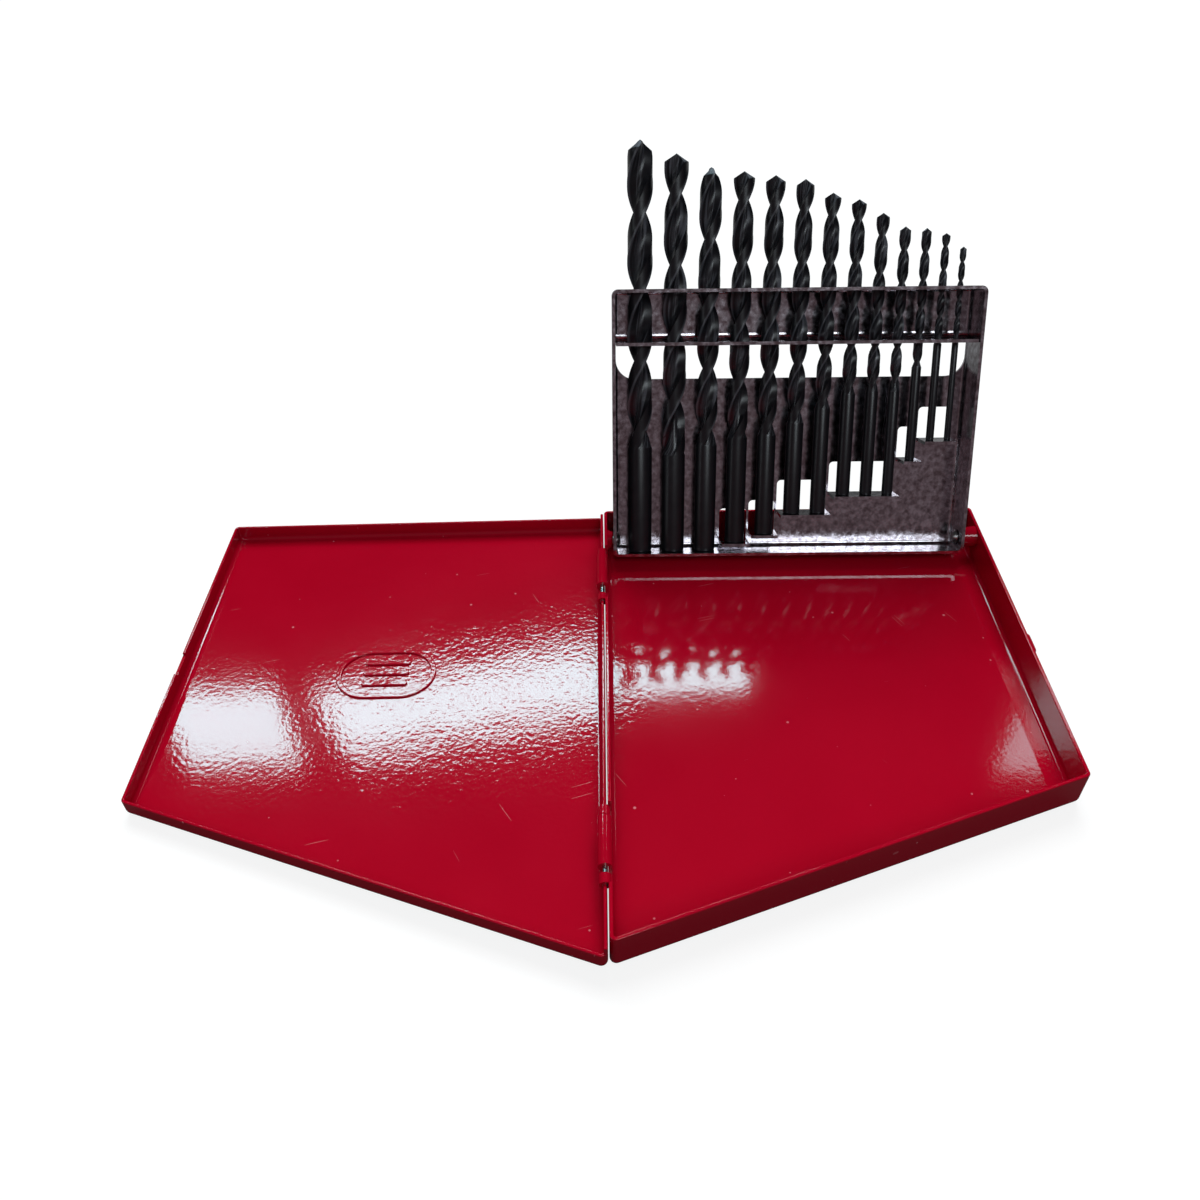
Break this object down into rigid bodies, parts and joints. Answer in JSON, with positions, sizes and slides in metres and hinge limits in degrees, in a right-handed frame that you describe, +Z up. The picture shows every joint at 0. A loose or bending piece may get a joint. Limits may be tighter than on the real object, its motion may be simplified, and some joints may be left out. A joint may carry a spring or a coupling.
{
  "type": "hinged twist drill case",
  "caption": "Hinged red steel case lying open, with a zinc rack that swings up and holds a graded set of black twist drills.",
  "frame": {"origin": "centre of the base tray's plan on its underside, midway between hinge wall and outer wall", "axes": "+Z up, +X from the hinge to the base tray's outer wall, +Y to the back, where the rack pivots"},
  "size_m": [0.2022, 0.1643, 0.0956],
  "materials": {
    "red_enamel": "glossy baked enamel over folded sheet steel",
    "zinc_plate": "bright zinc plate, mottled",
    "black_oxide": "black oxide on high-speed steel",
    "plain_steel": "plain steel"
  },
  "bodies": {
    "base": {"base_tray": "red_enamel", "rack_rivet_left": "plain_steel", "rack_rivet_right": "plain_steel"},
    "hinge_pins": {"hinge_pin_rear": "plain_steel", "hinge_pin_front": "plain_steel"},
    "lid": {"lid_tray": "red_enamel"},
    "rack": {"bit_rack": "zinc_plate"},
    "drill_16_64_inch": {"drill_16_64_inch": "black_oxide"},
    "drill_15_64_inch": {"drill_15_64_inch": "black_oxide"},
    "drill_14_64_inch": {"drill_14_64_inch": "black_oxide"},
    "drill_13_64_inch": {"drill_13_64_inch": "black_oxide"},
    "drill_12_64_inch": {"drill_12_64_inch": "black_oxide"},
    "drill_11_64_inch": {"drill_11_64_inch": "black_oxide"},
    "drill_10_64_inch": {"drill_10_64_inch": "black_oxide"},
    "drill_9_64_inch": {"drill_9_64_inch": "black_oxide"},
    "drill_8_64_inch": {"drill_8_64_inch": "black_oxide"},
    "drill_7_64_inch": {"drill_7_64_inch": "black_oxide"},
    "drill_6_64_inch": {"drill_6_64_inch": "black_oxide"},
    "drill_5_64_inch": {"drill_5_64_inch": "black_oxide"},
    "drill_4_64_inch": {"drill_4_64_inch": "black_oxide"}
  },
  "joints": [
    {"name": "hinge_pins_turn", "type": "hinge", "parent": "base", "child": "hinge_pins", "pos_m": [-0.05045, 0, 0.0078], "axis": [0, -1, 0], "range_deg": [-90.5, 0]},
    {"name": "lid_turn", "type": "hinge", "parent": "hinge_pins", "child": "lid", "pos_m": [-0.05045, 0, 0.0078], "axis": [0, -1, 0], "range_deg": [-90.5, 0]},
    {"name": "rack_fold", "type": "hinge", "parent": "base", "child": "rack", "pos_m": [0, 0.05507, 0.00647], "axis": [-1, 0, 0], "range_deg": [-115, 0]},
    {"name": "pull_16_64_inch", "type": "slide", "parent": "rack", "child": "drill_16_64_inch", "axis": [0, 0.4226, 0.9063], "range_m": [0, 0.0702]},
    {"name": "pull_15_64_inch", "type": "slide", "parent": "rack", "child": "drill_15_64_inch", "axis": [0, 0.4226, 0.9063], "range_m": [0, 0.0702]},
    {"name": "pull_14_64_inch", "type": "slide", "parent": "rack", "child": "drill_14_64_inch", "axis": [0, 0.4226, 0.9063], "range_m": [0, 0.0702]},
    {"name": "pull_13_64_inch", "type": "slide", "parent": "rack", "child": "drill_13_64_inch", "axis": [0, 0.4226, 0.9063], "range_m": [0, 0.068]},
    {"name": "pull_12_64_inch", "type": "slide", "parent": "rack", "child": "drill_12_64_inch", "axis": [0, 0.4226, 0.9063], "range_m": [0, 0.0658]},
    {"name": "pull_11_64_inch", "type": "slide", "parent": "rack", "child": "drill_11_64_inch", "axis": [0, 0.4226, 0.9063], "range_m": [0, 0.0604]},
    {"name": "pull_10_64_inch", "type": "slide", "parent": "rack", "child": "drill_10_64_inch", "axis": [0, 0.4226, 0.9063], "range_m": [0, 0.0604]},
    {"name": "pull_9_64_inch", "type": "slide", "parent": "rack", "child": "drill_9_64_inch", "axis": [0, 0.4226, 0.9063], "range_m": [0, 0.0556]},
    {"name": "pull_8_64_inch", "type": "slide", "parent": "rack", "child": "drill_8_64_inch", "axis": [0, 0.4226, 0.9063], "range_m": [0, 0.0556]},
    {"name": "pull_7_64_inch", "type": "slide", "parent": "rack", "child": "drill_7_64_inch", "axis": [0, 0.4226, 0.9063], "range_m": [0, 0.0556]},
    {"name": "pull_6_64_inch", "type": "slide", "parent": "rack", "child": "drill_6_64_inch", "axis": [0, 0.4226, 0.9063], "range_m": [0, 0.0465]},
    {"name": "pull_5_64_inch", "type": "slide", "parent": "rack", "child": "drill_5_64_inch", "axis": [0, 0.4226, 0.9063], "range_m": [0, 0.0414]},
    {"name": "pull_4_64_inch", "type": "slide", "parent": "rack", "child": "drill_4_64_inch", "axis": [0, 0.4226, 0.9063], "range_m": [0, 0.0414]}
  ]
}
